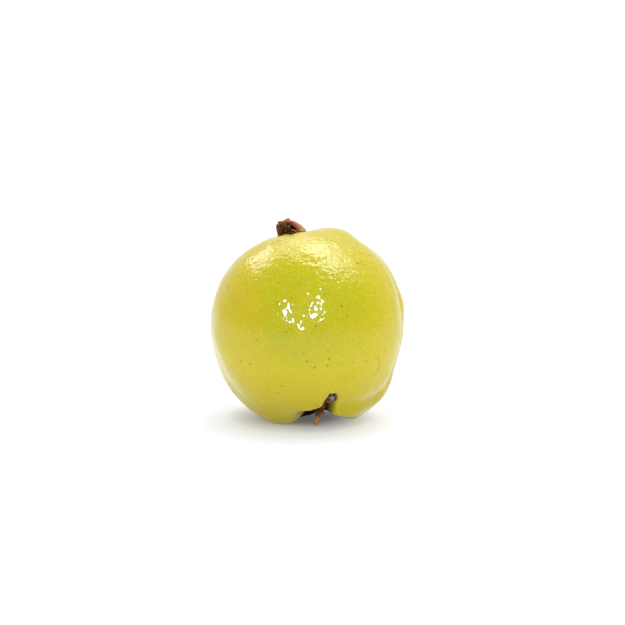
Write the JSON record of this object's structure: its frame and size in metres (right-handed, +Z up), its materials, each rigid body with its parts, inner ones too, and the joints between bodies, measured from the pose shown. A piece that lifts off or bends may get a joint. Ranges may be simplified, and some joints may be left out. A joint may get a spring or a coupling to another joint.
{
  "type": "guava fruit",
  "caption": "Whole apple-shaped guava with a creased, lobed stem end, a short cut stalk in its cleft and a dried calyx crown; rests on its lobes.",
  "frame": {"origin": "on the floor, under the middle of the whole object", "axes": "+Z up, -Y towards the front, which has the cleft with the stalk in it, +X to the right seen from the front"},
  "size_m": [0.0725, 0.072, 0.074],
  "materials": {
    "waxy_skin": "waxy, half gloss",
    "dried_calyx": "dry, matte",
    "withered_flower": "dry, matte",
    "stalk_wood": "dry bark, matte"
  },
  "bodies": {
    "root": {"fruit": "waxy_skin", "calyx": "dried_calyx", "flower_remnant": "withered_flower", "stem": "stalk_wood"}
  },
  "joints": []
}
